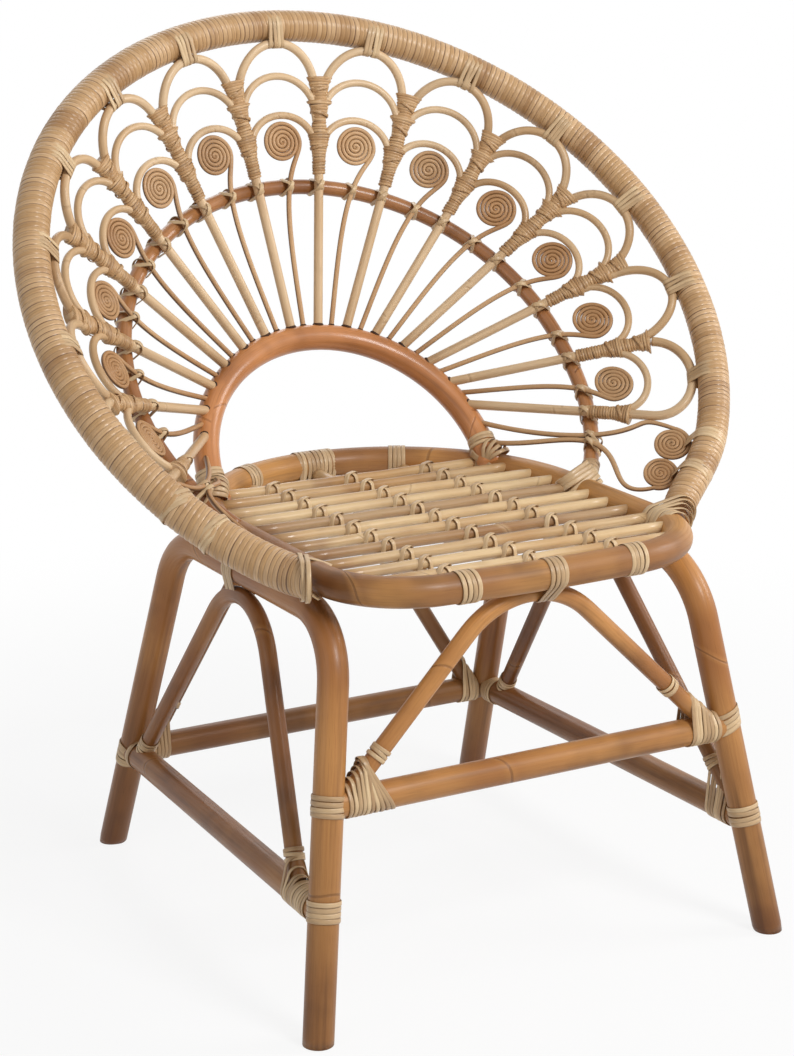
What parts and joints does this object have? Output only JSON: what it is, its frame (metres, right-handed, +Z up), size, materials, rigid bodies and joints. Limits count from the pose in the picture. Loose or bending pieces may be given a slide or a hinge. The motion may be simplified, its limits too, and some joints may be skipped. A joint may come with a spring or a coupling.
{
  "type": "rattan peacock chair",
  "caption": "Rattan peacock chair with a round fan back of scrolls and nested arches, a slatted seat in a bent ring, and bent pole legs with stretchers and braces.",
  "frame": {"origin": "on the floor, at the middle of the width and of the depth", "axes": "+Z up, the sitter faces -Y, +X is on the right of someone who faces the chair"},
  "size_m": [0.7542, 0.6156, 0.8741],
  "materials": {
    "frame": "lacquered rattan pole, warm brown",
    "seat": "lacquered rattan pole, honey",
    "slat": "lacquered rattan stick, pale",
    "arch": "lacquered rattan pole, reddish brown",
    "core": "plain rattan pole",
    "peel": "rattan peel, satin",
    "fan": "split rattan and peel, satin, pale"
  },
  "bodies": {
    "root": {"seat_ring": "seat", "seat_slat_1": "slat", "seat_slat_2": "slat", "seat_slat_3": "slat", "seat_slat_4": "slat", "seat_slat_5": "slat", "seat_slat_6": "slat", "seat_slat_7": "slat", "seat_slat_8": "slat", "seat_slat_9": "slat", "seat_slat_10": "slat", "seat_slat_11": "slat", "leg_frame_left": "frame", "leg_frame_right": "frame", "stretcher_front": "frame", "stretcher_rear": "frame", "stretcher_left": "frame", "stretcher_right": "frame", "brace_front": "frame", "brace_rear": "frame", "brace_left": "frame", "brace_right": "frame", "seat_bearer_left": "frame", "seat_bearer_middle": "frame", "seat_bearer_right": "frame", "hoop_core": "core", "hoop_winding": "peel", "middle_ring": "arch", "fan_spoke_left_1": "fan", "fan_spoke_left_2": "fan", "fan_spoke_left_3": "fan", "fan_spoke_left_4": "fan", "fan_spoke_left_5": "fan", "fan_spoke_left_6": "fan", "fan_spoke_left_7": "fan", "fan_spoke_right_1": "fan", "fan_spoke_right_2": "fan", "fan_spoke_right_3": "fan", "fan_spoke_right_4": "fan", "fan_spoke_right_5": "fan", "fan_spoke_right_6": "fan", "fan_spoke_right_7": "fan", "scroll_top": "fan", "scroll_left_1": "fan", "scroll_left_2": "fan", "scroll_left_3": "fan", "scroll_left_4": "fan", "scroll_left_5": "fan", "scroll_left_6": "fan", "scroll_left_7": "fan", "scroll_left_8": "fan", "scroll_right_1": "fan", "scroll_right_2": "fan", "scroll_right_3": "fan", "scroll_right_4": "fan", "scroll_right_5": "fan", "scroll_right_6": "fan", "scroll_right_7": "fan", "scroll_right_8": "fan", "inner_arch": "arch"}
  },
  "joints": []
}
